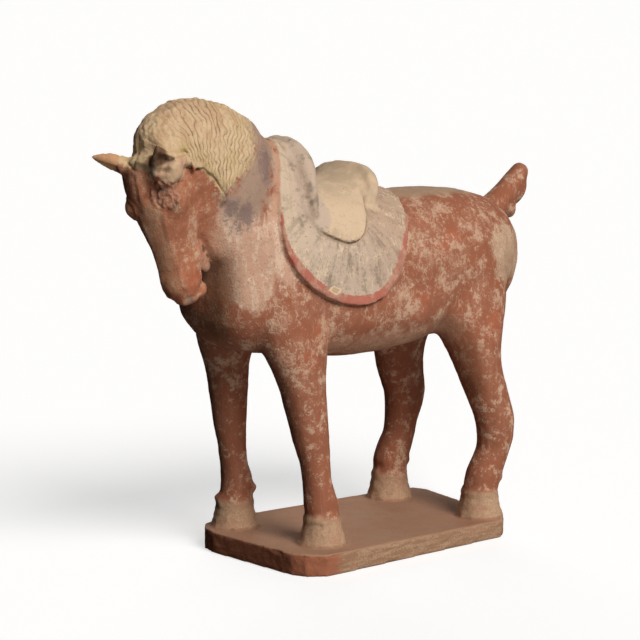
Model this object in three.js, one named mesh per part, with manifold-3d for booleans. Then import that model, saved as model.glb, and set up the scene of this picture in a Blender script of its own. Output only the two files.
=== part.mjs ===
// A pottery horse standing square on a slab: saddled, the head bowed and turned a little to its left,
// the mane combed over, the tail docked and cocked up. Horse, harness and slab are one fired piece.
// Millimetres, +Z up. The horse faces -X, its left side is -Y. Origin: on the slab's underside, below the
// middle of the horse.
import * as THREE from "three";
import { mergeVertices } from "three/addons/utils/BufferGeometryUtils.js";
import Module from "manifold-3d";

const wasm = await Module();
wasm.setup();

// Driving dimensions
const figureHeight = 382; // hooves to the crest of the mane
const slabThickness = 19; // at the front
const slabRear = 15.5; // its thickness at the rear edge
const hoofRadius = 20.5;
const blanketThickness = 4;
const rimRise = 2; // the blanket's red edging stands this far above it
const rimWidth = 8;
const coverThickness = 3.5; // the saddle cover lies on the blanket
const pommelThickness = 24;
const cantleThickness = 9;
const maneThickness = 3.5;
const earLength = 32;

// The modelling below is written for a figure 382 high; u scales its pose and proportions, and not the sizes above.
const u = figureHeight / 382;
const ground = slabThickness;
const V = (x, y, z) => new THREE.Vector3(x, y, z);
const degrees = Math.PI / 180;

// Reads the columns of a list of stations along a smooth curve; t runs from 0 to 1.
function readStations(stations, t) {
  const last = stations.length - 1;
  const place = Math.min(t * last, last - 1e-9);
  const i = Math.floor(place);
  const f = place - i;
  const pick = (k) => stations[Math.min(Math.max(k, 0), last)];
  return stations[0].map((_, c) => {
    const [a, b, d, e] = [pick(i - 1)[c], pick(i)[c], pick(i + 1)[c], pick(i + 2)[c]];
    const slope = (p, q) => (q - p) / 2;
    const h = f * f * (3 - 2 * f);
    return b * (1 - h) + d * h + slope(a, d) * f * (1 - f) ** 2 - slope(b, e) * f * f * (1 - f);
  });
}

// A closed geometry from rings of points and a pole at each end.
function skin(rings, firstPole, lastPole) {
  const sides = rings[0].length;
  const points = [firstPole, ...rings.flat(), lastPole];
  const faces = [];
  for (let j = 0; j < sides; j++) {
    const next = (j + 1) % sides;
    faces.push(0, 1 + next, 1 + j);
    for (let i = 0; i < rings.length - 1; i++) {
      const low = 1 + i * sides;
      const high = low + sides;
      faces.push(low + j, low + next, high + next, low + j, high + next, high + j);
    }
    const end = 1 + (rings.length - 1) * sides;
    faces.push(end + j, end + next, points.length - 1);
  }
  const geometry = new THREE.BufferGeometry();
  geometry.setAttribute("position", new THREE.Float32BufferAttribute(points.flatMap((p) => p.toArray()), 3));
  geometry.setIndex(faces);
  return geometry;
}

// A station is [x, y, z, half width, radius above, radius below, squareness, taper]. The rings stand across
// the line of stations: their width lies along `across`, and "above" is the direction of travel x across.
// Taper draws the section in above and lets it out below; it may be left off.
function loft(stations, { sides = 20, rings = 16, across = V(0, 1, 0), grow = 0, caps = [6, 6] } = {}) {
  const read = (t) => readStations(stations, t);
  const centre = (t) => V(...read(t).slice(0, 3)).multiplyScalar(u).add(V(0, 0, ground));
  const step = 0.01;
  const travel = (t) => centre(Math.min(t + step, 1)).sub(centre(Math.max(t - step, 0))).normalize();
  const ring = (t, shrink, shift) => {
    const [, , , width, above, below, square, taper = 0] = read(t);
    const forward = travel(t);
    const side = across.clone().addScaledVector(forward, -across.dot(forward)).normalize();
    const up = new THREE.Vector3().crossVectors(forward, side);
    const middle = centre(t).addScaledVector(forward, shift);
    return Array.from({ length: sides }, (_, j) => {
      const angle = (2 * Math.PI * j) / sides;
      const bend = (v) => Math.sign(v) * Math.abs(v) ** (2 / square);
      const high = bend(Math.sin(angle));
      const rise = high > 0 ? above : below;
      return middle
        .clone()
        .addScaledVector(side, (width * u * (1 - taper * high) + grow) * shrink * bend(Math.cos(angle)))
        .addScaledVector(up, (rise * u + grow) * shrink * high);
    });
  };
  const [startCap, endCap] = caps.map((cap) => cap * u + grow);
  const capRings = 3;
  const dome = [...Array(capRings).keys()].map((k) => ((k + 1) * 90 * degrees) / (capRings + 1));
  const all = [
    ...dome.toReversed().map((a) => ring(0, Math.cos(a), -startCap * Math.sin(a))),
    ...Array.from({ length: rings }, (_, i) => ring(i / (rings - 1), 1, 0)),
    ...dome.map((a) => ring(1, Math.cos(a), endCap * Math.sin(a))),
  ];
  const pole = (t, shift) => centre(t).addScaledVector(travel(t), shift);
  return skin(all, pole(0, -startCap), pole(1, endCap));
}

function solid(geometry) {
  const bare = geometry.clone();
  bare.deleteAttribute("normal");
  bare.deleteAttribute("uv");
  const merged = mergeVertices(bare, 1e-4);
  return new wasm.Manifold(
    new wasm.Mesh({
      numProp: 3,
      vertProperties: Float32Array.from(merged.attributes.position.array),
      triVerts: Uint32Array.from(merged.index.array),
    }),
  );
}

const join = (...solids) => solids.reduce((a, b) => a.add(b));

// An egg with half sizes r, centred at c, tipped by an optional rotation.
function egg(c, r, { turn = [0, 0, 0], detail = 10 } = {}) {
  const ball = new THREE.SphereGeometry(1, detail * 2, detail);
  ball.scale(r[0] * u, r[1] * u, r[2] * u);
  ball.applyMatrix4(new THREE.Matrix4().makeRotationFromEuler(new THREE.Euler(...turn.map((d) => d * degrees))));
  ball.translate(c[0] * u, c[1] * u, c[2] * u + ground);
  return solid(ball);
}

// Torso, from the breast to the buttocks
const middleY = 3; // the horse stands this far off the slab's long centre line
const torsoStations = [
  [-150, middleY, 210, 36, 48, 40, 2.1],
  [-134, middleY, 213, 49, 66, 51, 2.2],
  [-102, middleY, 219, 57, 80, 61, 2.3],
  [-55, middleY, 222, 61, 78, 69, 2.3],
  [-5, middleY, 222, 63, 72, 73, 2.2],
  [45, middleY, 224, 63, 69, 70, 2.2],
  [90, middleY, 226, 63, 66, 60, 2.3],
  [125, middleY, 222, 58, 63, 52, 2.3],
  [151, middleY, 214, 42, 53, 42, 2.2],
];
const trunk = (grow) => solid(loft(torsoStations, { sides: 24, rings: 16, grow, caps: [26, 20] }));
// The breast, from the throat down to the forelegs
const breastStations = [
  [-164, -5, 298, 33, 42, 24, 2.3],
  [-153, -2, 270, 41, 42, 29, 2.4],
  [-142, 1, 240, 47, 42, 36, 2.4],
  [-133, middleY, 207, 49, 42, 41, 2.3],
  [-123, middleY, 188, 42, 38, 32, 2.2],
];
const breast = (grow) => solid(loft(breastStations, { sides: 20, rings: 9, grow, caps: [10, 20] }));
const torso = (grow = 0) => join(trunk(grow), breast(grow));

// Neck, from the poll down to the withers
const neckStations = [
  [-224, -22, 328, 22, 34, 31, 2.1, 0.08],
  [-206, -18, 335, 28, 43, 40, 2.2, 0.15],
  [-182, -11, 328, 33, 52, 51, 2.4, 0.22],
  [-154, -4, 306, 39, 60, 60, 2.5, 0.24],
  [-124, 1, 274, 47, 65, 65, 2.4, 0.2],
  [-98, middleY, 240, 52, 64, 62, 2.3, 0.1],
];
const neck = (grow = 0) => solid(loft(neckStations, { sides: 20, rings: 11, grow, caps: [10, 12] }));

// Legs, from the hoof up. A station is [height, x, y outward from the middle, front, rear, half width].
const legs = {
  nearFront: [
    [22, -78, 51, 15, 14, 14], [38, -80, 51, 15, 15, 14], [50, -83, 51, 12, 12, 12.5], [68, -85, 50, 12, 13, 12],
    [92, -88, 48, 16, 16, 14.5], [108, -90, 47, 17, 17, 16], [126, -92, 45, 19, 19, 18], [146, -95, 43, 23, 24, 20],
    [172, -101, 41, 29, 32, 22], [205, -105, 37, 36, 37, 23], [236, -108, 29, 38, 38, 22], [262, -108, 20, 34, 34, 18],
  ],
  farFront: [
    [22, -98, 46, 15, 14, 14], [36, -96, 46, 14, 17, 14], [50, -98, 46, 12, 12, 12.5], [68, -100, 46, 12, 12, 12],
    [92, -103, 45, 15, 14, 13.5], [108, -105, 44, 16, 16, 15], [130, -107, 43, 18, 19, 17], [150, -109, 42, 22, 23, 19],
    [172, -111, 41, 28, 31, 22], [205, -111, 37, 35, 37, 23], [236, -110, 29, 38, 38, 22], [262, -108, 20, 34, 34, 18],
  ],
  nearHind: [
    [22, 103, 53, 16, 16, 15], [38, 108, 54, 17, 16, 15], [52, 115, 55, 15, 15, 14], [66, 118, 56, 17, 17, 15],
    [84, 117, 56, 18, 20, 16], [104, 110, 55, 17, 21, 16], [126, 101, 53, 18, 24, 18], [146, 97, 50, 23, 29, 21],
    [168, 95, 45, 32, 39, 24], [200, 95, 39, 42, 49, 25], [232, 97, 31, 44, 51, 25], [258, 100, 20, 38, 44, 20],
  ],
  farHind: [
    [22, 88, 54, 16, 16, 15], [38, 90, 54, 17, 17, 15], [52, 98, 54, 15, 15, 14], [68, 102, 55, 15, 15, 14.5],
    [84, 105, 55, 18, 19, 16], [100, 105, 54, 20, 22, 17], [120, 99, 52, 23, 23, 19], [140, 95, 49, 27, 26, 21],
    [166, 93, 45, 36, 36, 24], [200, 94, 39, 43, 46, 25], [232, 97, 31, 44, 48, 25], [258, 100, 20, 38, 42, 20],
  ],
};
const sideOf = (name) => (name.startsWith("near") ? -1 : 1);
function leg(name, grow = 0) {
  const side = sideOf(name);
  const stations = legs[name].map(([z, x, out, front, rear, width]) => [
    x, middleY + side * out, z, width, front, rear, 2.1,
  ]);
  return solid(loft(stations, { sides: 12, rings: 15, grow, caps: [8, 12] }));
}

// Slab, cut freehand: the corners are sliced off, and it is a little longer on the far side and thinner behind.
const slabOutline = [
  [-121, -60], [-115, -73], [-100, -83], [-80, -83], [106, -75], [115, -69], [123, -56], [139, 62], [134, 75],
  [121, 81], [-95, 80], [-113, 73], [-123, 60], [-127, 42],
];
const slabFront = Math.min(...slabOutline.map(([x]) => x)) * u;
const slabBack = Math.max(...slabOutline.map(([x]) => x)) * u;
const topAt = (x) => slabThickness + ((slabRear - slabThickness) * (x - slabFront)) / (slabBack - slabFront);
function slab() {
  const shape = new THREE.Shape(slabOutline.map(([x, y]) => new THREE.Vector2(x * u, y * u)));
  const block = new THREE.ExtrudeGeometry(shape, { depth: slabThickness, bevelEnabled: false });
  const position = block.attributes.position;
  for (let i = 0; i < position.count; i++) {
    if (position.getZ(i) > 0) position.setZ(i, topAt(position.getX(i)));
  }
  return solid(block);
}

// The hoof flares to the slab, and a fillet of wet clay bonds it there.
function hoof(name) {
  const [, x, out] = legs[name][0];
  const r = hoofRadius / u;
  const profile = [
    [0, -2], [r + 2, -2], [r + 1, 2], [r - 1, 7], [r - 4, 19], [r - 4.5, 27], [r - 7, 32], [0, 34],
  ];
  const shape = new THREE.LatheGeometry(profile.map(([a, z]) => new THREE.Vector2(a * u, z * u)), 12);
  shape.rotateX(90 * degrees);
  shape.translate(x * u, (middleY + sideOf(name) * out) * u, topAt(x * u));
  return solid(shape);
}
const allLegs = (grow = 0) => join(...Object.keys(legs).map((name) => leg(name, grow)));
const allHooves = () => join(...Object.keys(legs).map(hoof));

// Head, modelled upright in its own frame: muzzle at the bottom, face towards -X, then placed on the neck.
const headAt = [-238, -24, 326];
const headTurn = 24;
const headBow = 15;
const headTilt = -8; // the poll leans to the far side
const headStations = [
  [2, 0, -108, 12, 9, 15, 2.3, 0.1],
  [0, 0, -100, 16.5, 12, 19, 2.5, 0.15],
  [0, 0, -86, 16, 11, 20, 2.5, 0.2],
  [0, 0, -71, 16.5, 11, 26, 2.5, 0.25],
  [0, 0, -54, 20, 12, 37, 2.5, 0.28],
  [0, 0, -36, 24, 13, 44, 2.5, 0.25],
  [0, 0, -16, 27, 13, 44, 2.4, 0.2],
  [2, 0, 2, 26, 14, 36, 2.2, 0.15],
];
function placeHead(body) {
  const place = new THREE.Matrix4()
    .makeTranslation(headAt[0] * u, headAt[1] * u, headAt[2] * u + ground)
    .multiply(new THREE.Matrix4().makeRotationZ(headTurn * degrees))
    .multiply(new THREE.Matrix4().makeRotationY(-headBow * degrees))
    .multiply(new THREE.Matrix4().makeRotationX(headTilt * degrees))
    .multiply(new THREE.Matrix4().makeTranslation(0, 0, -ground));
  return body.transform(place.elements);
}
function head() {
  const skull = solid(loft(headStations, { sides: 18, rings: 14, caps: [5, 12] }));
  const eyes = [-1, 1].map((s) => egg([-1, s * 19.5, -29], [9, 9, 11], { detail: 6 }));
  const jowls = [-1, 1].map((s) => egg([22, s * 14, -32], [23, 12, 25], { detail: 7 }));
  const lips = [-1, 1].map((s) => egg([12, s * 13, -78], [9, 6, 14], { detail: 5 }));
  const nostrils = [-1, 1].map((s) => egg([-12, s * 9.5, -102], [5, 4, 5], { detail: 4 }));
  const whole = join(skull, ...eyes, ...jowls, ...lips).subtract(join(...nostrils));
  return placeHead(whole);
}

// Ears. The tip lies along `point` from the foot; the hollow opens towards `open`.
const ears = [
  { foot: [-9, -21, -12], point: V(-0.2, 0.06, 0.98), open: V(-0.9, -0.42, -0.08), width: 14, length: earLength / u },
  { foot: [-2, 20, 7], point: V(-0.4, 0.78, 0.52), open: V(-0.7, 0.05, -0.7), width: 8.5, length: (0.78 * earLength) / u },
];
function ear({ foot, point, open, width, length }) {
  const tip = point.clone().normalize();
  const across = new THREE.Vector3().crossVectors(open, tip).normalize();
  const along = (share) => tip.clone().multiplyScalar(share * length).add(V(...foot)).toArray();
  const outer = [
    [...along(-0.1), width * 0.8, 8, 8, 2], [...along(0.2), width, 7, 7, 2], [...along(0.5), width * 0.85, 5.5, 6, 2],
    [...along(0.8), width * 0.5, 3.5, 4.5, 2], [...along(1), 1.6, 1.6, 1.6, 2],
  ];
  const scoop = outer.slice(1, 4).map(([x, y, z, w]) => [
    ...V(x, y, z).addScaledVector(open, 5).toArray(), Math.max(w - 3.5, 1), 8, 4, 2,
  ]);
  const body = solid(loft(outer, { sides: 12, rings: 8, across, caps: [3, 2] }));
  return placeHead(body.subtract(solid(loft(scoop, { sides: 8, rings: 5, across, caps: [2, 2] }))));
}

// Tail, docked and cocked up, thick at its root
const tailStations = [
  [152, middleY, 262, 13, 14, 14, 2],
  [167, middleY, 269, 12.5, 14, 15, 2],
  [180, middleY, 279, 11.5, 13, 14, 2],
  [192, middleY, 290, 10, 11.5, 12, 2],
  [200, middleY, 300, 8, 8.5, 8.5, 2],
];
const brokenEnd = () => egg([183, middleY, 268], [10, 9, 13], { detail: 6 });
const tail = () => join(solid(loft(tailStations, { sides: 10, rings: 8, caps: [6, 6] })), brokenEnd());

// A block across the whole horse, from an outline in the side view.
function prism(outline) {
  const shape = new THREE.Shape(outline.map(([x, z]) => new THREE.Vector2(x * u, z * u)));
  const block = new THREE.ExtrudeGeometry(shape, { depth: 240 * u, bevelEnabled: false });
  block.rotateX(90 * degrees);
  block.translate(0, 120 * u, ground);
  return solid(block);
}

// A smooth line through the given points of the side view, closed over the horse's back.
const overBack = 430;
function hanging(points, count) {
  const line = new THREE.SplineCurve(points.map(([x, z]) => new THREE.Vector2(x, z)));
  const edge = line.getPoints(count).map((p) => [p.x, p.y]);
  return [[points[0][0], overBack], ...edge, [points.at(-1)[0], overBack]];
}
// Moves a hanging outline's edge inwards, towards a middle point.
const inset = (points, [mx, mz], by) =>
  points.map(([x, z]) => {
    const far = Math.hypot(x - mx, z - mz);
    return [x + ((mx - x) * by) / far, z + ((mz - z) * by) / far];
  });

// Mane: a thicker skin over the neck's upper half, with a stepped lower edge
const maneEdge = [
  [-268, 340], [-244, 326], [-222, 330], [-202, 327], [-188, 317], [-177, 301], [-166, 290], [-148, 294], [-124, 322],
];
const mane = () => neck(maneThickness).intersect(prism(hanging(maneEdge, 18)));

// Saddle blanket, with a raised edging, and the smaller cover on it
const underSaddle = (grow) => join(torso(grow), neck(grow), leg("nearFront", grow), leg("farFront", grow));
const blanketEdge = [
  [-99, 350], [-110, 326], [-118, 300], [-121, 268], [-110, 236], [-82, 213], [-50, 204], [-22, 209], [-3, 229],
  [6, 252], [14, 268], [20, 284], [24, 300],
];
function blanket() {
  const shape = prism(hanging(blanketEdge, 24));
  const inner = prism(hanging(inset(blanketEdge, [-52, 300], rimWidth / u), 24));
  const cloth = underSaddle(blanketThickness).intersect(shape);
  const edging = underSaddle(blanketThickness + rimRise).intersect(shape).subtract(inner);
  return join(cloth, edging);
}
const coverEdge = [[-96, 310], [-95, 288], [-85, 271], [-70, 262], [-56, 259], [-45, 264], [-39, 279], [-34, 296]];
const cover = () => underSaddle(blanketThickness + coverThickness).intersect(prism(hanging(coverEdge, 16)));

// Pommel: a thick roll bent across the withers, from the far side to the near side
function pommel() {
  const t = pommelThickness / u / 2;
  const stations = [
    [-86, 54, 282, t / 4, 5, 8, 2], [-86, 47, 305, t / 1.8, 9, 12, 2], [-84, 30, 326, t * 0.9, 12, 14, 2],
    [-82, middleY, 332, t, 14, 22, 2], [-84, -24, 326, t * 0.9, 12, 14, 2], [-86, -41, 305, t / 1.8, 9, 12, 2],
    [-86, -48, 282, t / 4, 5, 8, 2],
  ];
  return solid(loft(stations, { sides: 12, rings: 14, across: V(1, 0, 0), caps: [5, 5] }));
}
// Seat: it dips behind the pommel and sweeps up to the cantle.
const seatStations = [
  [-84, middleY, 274, 38, 38, 24, 2.2],
  [-62, middleY, 274, 42, 32, 24, 2.2],
  [-44, middleY, 274, 45, 31, 24, 2.3],
  [-28, middleY, 274, 46, 37, 24, 2.4],
  [-16, middleY, 274, 46, 45, 24, 2.5],
];
const seat = () => solid(loft(seatStations, { sides: 18, rings: 8, caps: [4, 3] }));
// Cantle: a broad upright fan that leans back
const cantleAt = [-16, 292];
const cantleLean = 16;
function cantle() {
  const c = cantleThickness / u / 2;
  const stations = [-c, 0, c].map((x) => [x, middleY, 0, 45, 29, 18, 2.5]);
  const fan = solid(loft(stations, { sides: 18, rings: 3, caps: [3, 3] }));
  const place = new THREE.Matrix4()
    .makeTranslation(cantleAt[0] * u, 0, cantleAt[1] * u + ground)
    .multiply(new THREE.Matrix4().makeRotationY(cantleLean * degrees))
    .multiply(new THREE.Matrix4().makeTranslation(0, 0, -ground));
  return fan.transform(place.elements);
}

const horse = join(
  slab(), allHooves(), allLegs(), torso(), neck(), head(), ...ears.map(ear), tail(), mane(), blanket(), cover(),
  pommel(), seat(), cantle(),
);

function meshOf(manifold) {
  const data = manifold.getMesh();
  const geometry = new THREE.BufferGeometry();
  geometry.setAttribute("position", new THREE.BufferAttribute(data.vertProperties, 3));
  geometry.setIndex(new THREE.BufferAttribute(data.triVerts, 1));
  geometry.computeVertexNormals();
  return geometry;
}

const firedClay = new THREE.MeshStandardMaterial({ color: 0xa0664c, roughness: 0.9, metalness: 0 });
const figure = new THREE.Mesh(meshOf(horse), firedClay);
figure.name = "pottery_horse";

const group = new THREE.Group();
group.add(figure);

export default group;
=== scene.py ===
import math

import bpy
import numpy as np
from mathutils import Euler, Matrix, Vector


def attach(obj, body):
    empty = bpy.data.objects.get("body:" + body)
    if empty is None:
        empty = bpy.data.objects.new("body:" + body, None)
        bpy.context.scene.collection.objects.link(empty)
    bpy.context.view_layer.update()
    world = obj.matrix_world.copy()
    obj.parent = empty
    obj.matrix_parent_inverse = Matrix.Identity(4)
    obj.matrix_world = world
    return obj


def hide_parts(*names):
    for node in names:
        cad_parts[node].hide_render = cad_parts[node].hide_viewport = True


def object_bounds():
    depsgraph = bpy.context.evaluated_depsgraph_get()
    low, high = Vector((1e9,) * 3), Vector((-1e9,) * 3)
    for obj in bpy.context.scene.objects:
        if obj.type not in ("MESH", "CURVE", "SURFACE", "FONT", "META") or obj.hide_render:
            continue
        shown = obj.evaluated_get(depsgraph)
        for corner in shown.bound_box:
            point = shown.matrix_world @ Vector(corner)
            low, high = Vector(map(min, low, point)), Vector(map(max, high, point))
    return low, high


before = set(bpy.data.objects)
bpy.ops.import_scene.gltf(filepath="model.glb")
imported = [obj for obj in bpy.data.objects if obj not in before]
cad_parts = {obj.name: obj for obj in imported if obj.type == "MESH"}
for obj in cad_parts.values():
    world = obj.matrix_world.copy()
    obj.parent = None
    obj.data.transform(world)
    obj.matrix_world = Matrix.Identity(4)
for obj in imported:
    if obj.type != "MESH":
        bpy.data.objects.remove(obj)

# The pottery horse: saddled, on its slab, one fired piece with what is left of its paint.
# Numbers are millimetres, with +Z up from the slab's underside. The horse faces -X, its left is -Y.
mm = 0.001
cadLow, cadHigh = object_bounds()


# Small helpers


def pickOnly(thing):
    bpy.ops.object.select_all(action="DESELECT")
    thing.select_set(True)
    bpy.context.view_layer.objects.active = thing


def applyModifier(thing, kind, **settings):
    pickOnly(thing)
    modifier = thing.modifiers.new(kind.title(), kind)
    for name, setting in settings.items():
        setattr(modifier, name, setting)
    bpy.ops.object.modifier_apply(modifier=modifier.name)


def readPoints(thing):
    flat = np.empty(len(thing.data.vertices) * 3, dtype=np.float32)
    thing.data.vertices.foreach_get("co", flat)
    return flat.reshape(-1, 3).astype(float) / mm


def readNormals(thing):
    flat = np.empty(len(thing.data.vertices) * 3, dtype=np.float32)
    thing.data.vertices.foreach_get("normal", flat)
    return flat.reshape(-1, 3).astype(float)


def writePoints(thing, points):
    thing.data.vertices.foreach_set("co", (points * mm).astype(np.float32).ravel())
    thing.data.update()


def fade(x, low, high):  # 0 at low, 1 at high, eased
    t = np.clip((x - low) / (high - low), 0, 1)
    return t * t * (3 - 2 * t)


def mixed(a, b, share):
    return a + (b - a) * share


latticeSize = 32
lattice = np.random.default_rng(11).random((latticeSize,) * 3)


def unevenness(points, size, seed=0):  # smooth noise from -1 to 1, with lumps about `size` across
    at = points / size + seed * 7.31
    low = np.floor(at).astype(int)
    f = at - low
    f = f * f * (3 - 2 * f)
    total = np.zeros(len(points))
    for corner in range(8):
        step = np.array([corner & 1, corner >> 1 & 1, corner >> 2 & 1])
        share = np.prod(np.where(step, f, 1 - f), axis=1)
        i, j, k = ((low + step) % latticeSize).T
        total += share * lattice[i, j, k]
    return 2 * total - 1


def distanceTo(points, line):  # to a line of straight pieces
    best = np.full(len(points), 1e9)
    line = np.asarray(line, float)
    for a, b in zip(line[:-1], line[1:]):
        along = b - a
        t = np.clip((points - a) @ along / max(along @ along, 1e-9), 0, 1)
        best = np.minimum(best, ((points - a - t[:, None] * along) ** 2).sum(axis=1))
    return np.sqrt(best)


def spotted(points, spots):  # 1 in the middle of a spot, 0 from its edge on; a spot is (x, y, z, radius)
    best = np.zeros(len(points))
    for x, y, z, radius in spots:
        far = np.linalg.norm(points - (x, y, z), axis=1)
        best = np.maximum(best, 1 - far / radius)
    return best


def smoothLine(points, count):  # a smooth line through the given points
    points = np.asarray(points, float)
    padded = np.vstack([points[:1], points, points[-1:]])
    made = []
    for t in np.linspace(0, len(points) - 1, count):
        i = min(int(t), len(points) - 2)
        f = t - i
        a, b, c, d = padded[i : i + 4]
        squared, cubed = 2 * a - 5 * b + 4 * c - d, 3 * b - a - 3 * c + d
        made.append(0.5 * (2 * b + (c - a) * f + squared * f * f + cubed * f**3))
    return np.array(made)


def insideOf(flat, outline):
    x, z = flat.T
    inside = np.zeros(len(flat), bool)
    for (x1, z1), (x2, z2) in zip(outline, np.roll(outline, -1, axis=0)):
        if z1 != z2:
            inside ^= ((z1 > z) != (z2 > z)) & (x < x1 + (z - z1) * (x2 - x1) / (z2 - z1))
    return inside


def fromEdge(points, edge, count=40):
    # Distance inside a hanging outline of the side view, which is closed over the horse's back.
    line = smoothLine(edge, count)
    closed = np.vstack([[line[0][0], 460], line, [line[-1][0], 460]])
    flat = points[:, [0, 2]]
    far = distanceTo(flat, closed[:-1])
    return np.where(insideOf(flat, closed), far, -far)


# Where things are


body = {
    "voxel": 1.5,
    "fineRounds": 1,
    "softRounds": 150,
    "triangles": 190000,
    "ground": 19,  # the hooves stand at this height at the front
    "middleY": 3,
    "bellyFill": 7,
}
head = {"at": (-238, -24, 345), "turn": 24, "bow": 15, "tilt": -8, "rollLift": 8.5}
cantle = {"at": (-16, 3, 311), "lean": 16}
pommelLine = [
    (-86, 54, 301), (-86, 47, 324), (-84, 30, 345), (-82, 3, 351), (-84, -24, 345), (-86, -41, 324),
    (-86, -48, 301),
]
# Edges as seen from the side: x and z
maneEdge = [
    (-268, 359), (-244, 345), (-222, 349), (-202, 346), (-188, 336), (-177, 320), (-166, 309),
    (-148, 313), (-124, 341),
]
blanketEdge = [
    (-99, 369), (-110, 345), (-118, 319), (-121, 287), (-110, 255), (-82, 232), (-50, 223), (-22, 228),
    (-3, 248), (6, 271), (14, 287), (20, 303), (24, 319),
]
coverEdge = [  # the edge of the solid's saddle cover
    (-96, 329), (-95, 307), (-85, 290), (-70, 281), (-56, 278), (-45, 283), (-39, 298), (-34, 315),
]
coverWorn = [  # the cover's edge as it is shown, wider at the rear
    (-96, 329), (-95, 307), (-85, 290), (-70, 281), (-55, 277), (-42, 281), (-32, 293), (-27, 306),
    (-25, 318),
]
# The mane's cream ends along a slanting violet band, whose outline this is in the side view.
maneColourEdge = [
    (-268, 359), (-244, 345), (-222, 349), (-202, 346), (-188, 336), (-179, 322), (-168, 333), (-153, 343),
    (-142, 353), (-132, 374),
]
violetOutline = [
    (-136, 400), (-143, 353), (-154, 342), (-168, 331), (-183, 324), (-181, 312), (-172, 303), (-163, 291),
    (-150, 294), (-138, 304), (-129, 315), (-122, 329), (-118, 346), (-106, 400),
]


def headOwn(points):
    # The head's own frame: muzzle down, face towards -X, left cheek -Y.
    turn, bow, tilt = (math.radians(head[k]) for k in ("turn", "bow", "tilt"))
    x, y, z = (points - head["at"]).T
    x, y = x * math.cos(turn) + y * math.sin(turn), -x * math.sin(turn) + y * math.cos(turn)
    x, z = x * math.cos(bow) + z * math.sin(bow), -x * math.sin(bow) + z * math.cos(bow)
    y, z = y * math.cos(tilt) + z * math.sin(tilt), -y * math.sin(tilt) + z * math.cos(tilt)
    return np.stack([x, y, z], axis=1)


def maneDepth(points):  # how far inside the mane; the head's own skin below the poll isn't in it
    own = headOwn(points)
    skull = distanceTo(own, [(6, 0, -100), (10, 0, -14)]) - 30
    return np.minimum(fromEdge(points, maneEdge), skull + 6)


def blanketDepth(points):
    return fromEdge(points, blanketEdge)


def coverDepth(points):
    return fromEdge(points, coverWorn)


def cantleOwn(points):
    lean = math.radians(cantle["lean"])
    x, y, z = (points - cantle["at"]).T
    x, z = x * math.cos(lean) - z * math.sin(lean), x * math.sin(lean) + z * math.cos(lean)
    return np.stack([x, y, z], axis=1)


def onCantle(points):
    own = cantleOwn(points)
    return (1 - fade(abs(own[:, 0]), 6, 9)) * fade(own[:, 2], -14, -8)


def earAlong(points, foot, tip):
    own = headOwn(points)
    a, b = np.array(foot, float), np.array(tip, float)
    t = (own - a) @ (b - a) / ((b - a) @ (b - a))
    return t, np.linalg.norm(own - a - np.clip(t, 0, 1)[:, None] * (b - a), axis=1)


# The ears in the head's own frame; the near one is drawn out a little at its tip, in the horse's frame
nearEar = {"foot": (-9, -21, -12), "tip": (-15.4, -19.1, 19.4), "drawnOut": (3.5, -2.5, 4.5)}
farEar = {"foot": (-2, 20, 7), "tip": (-11.8, 39.1, 19.7)}


def onEar(points, ear, reach=14, start=-0.15):
    t, far = earAlong(points, ear["foot"], ear["tip"])
    return fade(t, start, start + 0.2) * (1 - fade(far, reach - 3, reach))


# Pellets of clay pressed on by hand, in the head's own frame: place and half sizes
pellets = {
    "cuffMiddle": ((-8, -3, 6), (7, 8, 6)),
    "cuffFront": ((-13, -14, -1), (6.5, 9, 6.5)),
    "cuffSide": ((-3, -26, -5), (12, 7, 6)),
    "cuffBack": ((12, -29, -6), (10, 5, 6)),
    "lipUpper": ((19, -13, -75), (5, 4.5, 7)),
    "lipMiddle": ((22, -14, -84), (4.5, 4, 4)),
    "lipLower": ((24, -13, -92), (5, 4.5, 6)),
    "chin": ((12, -8, -108), (9, 7.5, 7)),
    "muzzle": ((0, -3, -111), (9, 10, 5)),
}


# The tail is fuller behind, in the horse's frame
tailPellet = ((195, 3, 301), (9.5, 8.5, 15))


def pressPellets(horse):
    turn, bow, tilt = (math.radians(head[k]) for k in ("turn", "bow", "tilt"))
    pose = Euler((tilt, -bow, turn), "XYZ")
    place = Matrix.Translation(Vector(head["at"]) * mm) @ pose.to_matrix().to_4x4()
    lying = [(name, place @ (Vector(middle) * mm), half, pose) for name, (middle, half) in pellets.items()]
    lying.append(("tailRear", Vector(tailPellet[0]) * mm, tailPellet[1], Euler((0, math.radians(30), 0))))
    for name, at, half, turned in lying:
        bpy.ops.object.select_all(action="DESELECT")
        bpy.ops.mesh.primitive_uv_sphere_add(segments=24, ring_count=16, location=at, rotation=turned)
        pellet = bpy.context.active_object
        pellet.name = name
        pellet.scale = Vector(half) * mm
        bpy.ops.object.transform_apply(location=True, rotation=True, scale=True)
        horse.select_set(True)
        bpy.context.view_layer.objects.active = horse
        bpy.ops.object.join()
    print("pellets pressed on")


def liftRoll(points):
    # The roll of clay under the near ear sits higher and flatter than the solid's ear does.
    own = headOwn(points)
    beside = 1 - fade(np.hypot(own[:, 0] + 7, own[:, 1] + 20), 19, 27)
    z = own[:, 2]
    lift = fade(z, -27, -15) * (1 - fade(z, -3, 16)) * beside
    turn = math.radians(head["turn"])
    back = np.array([math.cos(turn) * 0.35, math.sin(turn) * 0.35 + 0.1, 1.0])
    return points + head["rollLift"] * lift[:, None] * back


def fillBelly(points):  # the belly's side stands steeper than the solid's
    x, y, z = points.T
    height = z - slabTop(points)
    low = fade(height, 138, 160) * (1 - fade(height, 182, 225))
    along = fade(x, -85, -55) * (1 - fade(x, 40, 75))
    aside = y - body["middleY"]
    side = np.sign(aside) * fade(abs(aside), 18, 40)
    moved = points.copy()
    moved[:, 1] += body["bellyFill"] * low * along * side
    return moved


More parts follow.
